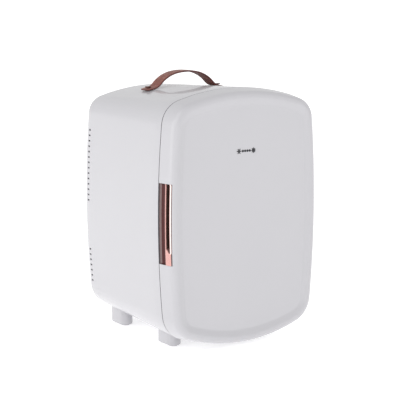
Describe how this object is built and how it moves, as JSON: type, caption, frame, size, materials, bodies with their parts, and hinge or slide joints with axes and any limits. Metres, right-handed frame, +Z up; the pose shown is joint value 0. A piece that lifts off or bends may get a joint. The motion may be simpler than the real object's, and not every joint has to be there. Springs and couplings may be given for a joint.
{
  "type": "mini fridge",
  "caption": "Bowed white thermoelectric mini fridge with a hinged front door, metal-look grip insert, leather carry strap, moulded feet and a rear fan cover.",
  "frame": {"origin": "on the floor under the middle of the cabinet", "axes": "+Z up, the door faces -Y, the hinge is at +X"},
  "size_m": [0.19, 0.196, 0.2857],
  "materials": {
    "shell_white": "satin gloss moulding",
    "cover_white": "fine spark texture",
    "liner_white": "smooth",
    "clear_plastic": "clear moulded plastic",
    "foam": "bead foam",
    "bare_aluminium": "mill finish",
    "module_ceramic": "ceramic",
    "fan_black": "fine texture",
    "screw_steel": "zinc plated",
    "bracket_white": "satin enamel",
    "board_green": "solder resist",
    "transformer_tape": "polyester tape",
    "pin_brass": "nickel over brass",
    "lamp_lens": "diffusing lens",
    "pad_rubber": "matt",
    "strap_leather": "smooth brown leather with a burgundy edge",
    "rivet_copper": "rose plated",
    "magnet_grey": "nickel",
    "gasket_grey": "soft moulded",
    "rose_plating": "polished rose-gold plating",
    "mark_ink": "pad print"
  },
  "bodies": {
    "cabinet": {"ac_inlet": "fan_black", "ac_inlet_pins": "pin_brass", "board_capacitors": "fan_black", "board_standoffs": "fan_black", "board_transformer": "transformer_tape", "body_insulation": "foam", "carry_strap": "strap_leather", "cold_plate": "bare_aluminium", "cold_plate_screws": "screw_steel", "dc_socket": "fan_black", "dc_socket_pin": "pin_brass", "fan_frame": "fan_black", "fan_screws": "screw_steel", "foot_back_left": "shell_white", "foot_back_right": "shell_white", "foot_front_left": "shell_white", "foot_front_right": "shell_white", "foot_pads": "pad_rubber", "foot_screws": "screw_steel", "front_frame": "liner_white", "heatsink_screws": "screw_steel", "hinge_bracket_lower": "bracket_white", "hinge_bracket_upper": "bracket_white", "hinge_screws": "screw_steel", "hot_heatsink": "bare_aluminium", "inner_liner": "liner_white", "latch_strikers": "screw_steel", "outer_shell": "shell_white", "peltier_module": "module_ceramic", "power_board": "board_green", "rear_cover": "cover_white", "rear_cover_screws": "screw_steel", "status_lamps": "lamp_lens", "strap_rivets": "rivet_copper", "switch_bezel": "fan_black", "transfer_block": "bare_aluminium"},
    "door": {"door_shell": "shell_white", "door_liner": "liner_white", "door_liner_screws": "screw_steel", "door_insulation": "foam", "door_gasket": "gasket_grey", "door_magnets": "magnet_grey", "grip_trim": "rose_plating", "door_mark": "mark_ink", "hinge_pin_upper": "screw_steel", "hinge_pin_lower": "screw_steel"},
    "fan": {"fan_rotor": "fan_black"},
    "switch": {"mode_switch": "fan_black"},
    "shelf": {"shelf": "liner_white"},
    "basket": {"door_basket": "clear_plastic"}
  },
  "joints": [
    {"name": "door_hinge", "type": "hinge", "parent": "cabinet", "child": "door", "pos_m": [0.0908, -0.0829, 0.138], "axis": [0, 0, 1], "range_deg": [0, 120]},
    {"name": "fan_spin", "type": "hinge", "parent": "cabinet", "child": "fan", "pos_m": [0, 0.0878, 0.158], "axis": [0, 1, 0], "continuous": true},
    {"name": "switch_rock", "type": "hinge", "parent": "cabinet", "child": "switch", "pos_m": [-0.014, 0.0911, 0.066], "axis": [1, 0, 0], "range_deg": [-10, 10]},
    {"name": "shelf_slide", "type": "slide", "parent": "cabinet", "child": "shelf", "axis": [0, -1, 0], "range_m": [0, 0.022]},
    {"name": "basket_lift", "type": "slide", "parent": "door", "child": "basket", "axis": [0, 0, 1], "range_m": [0, 0.012]}
  ]
}
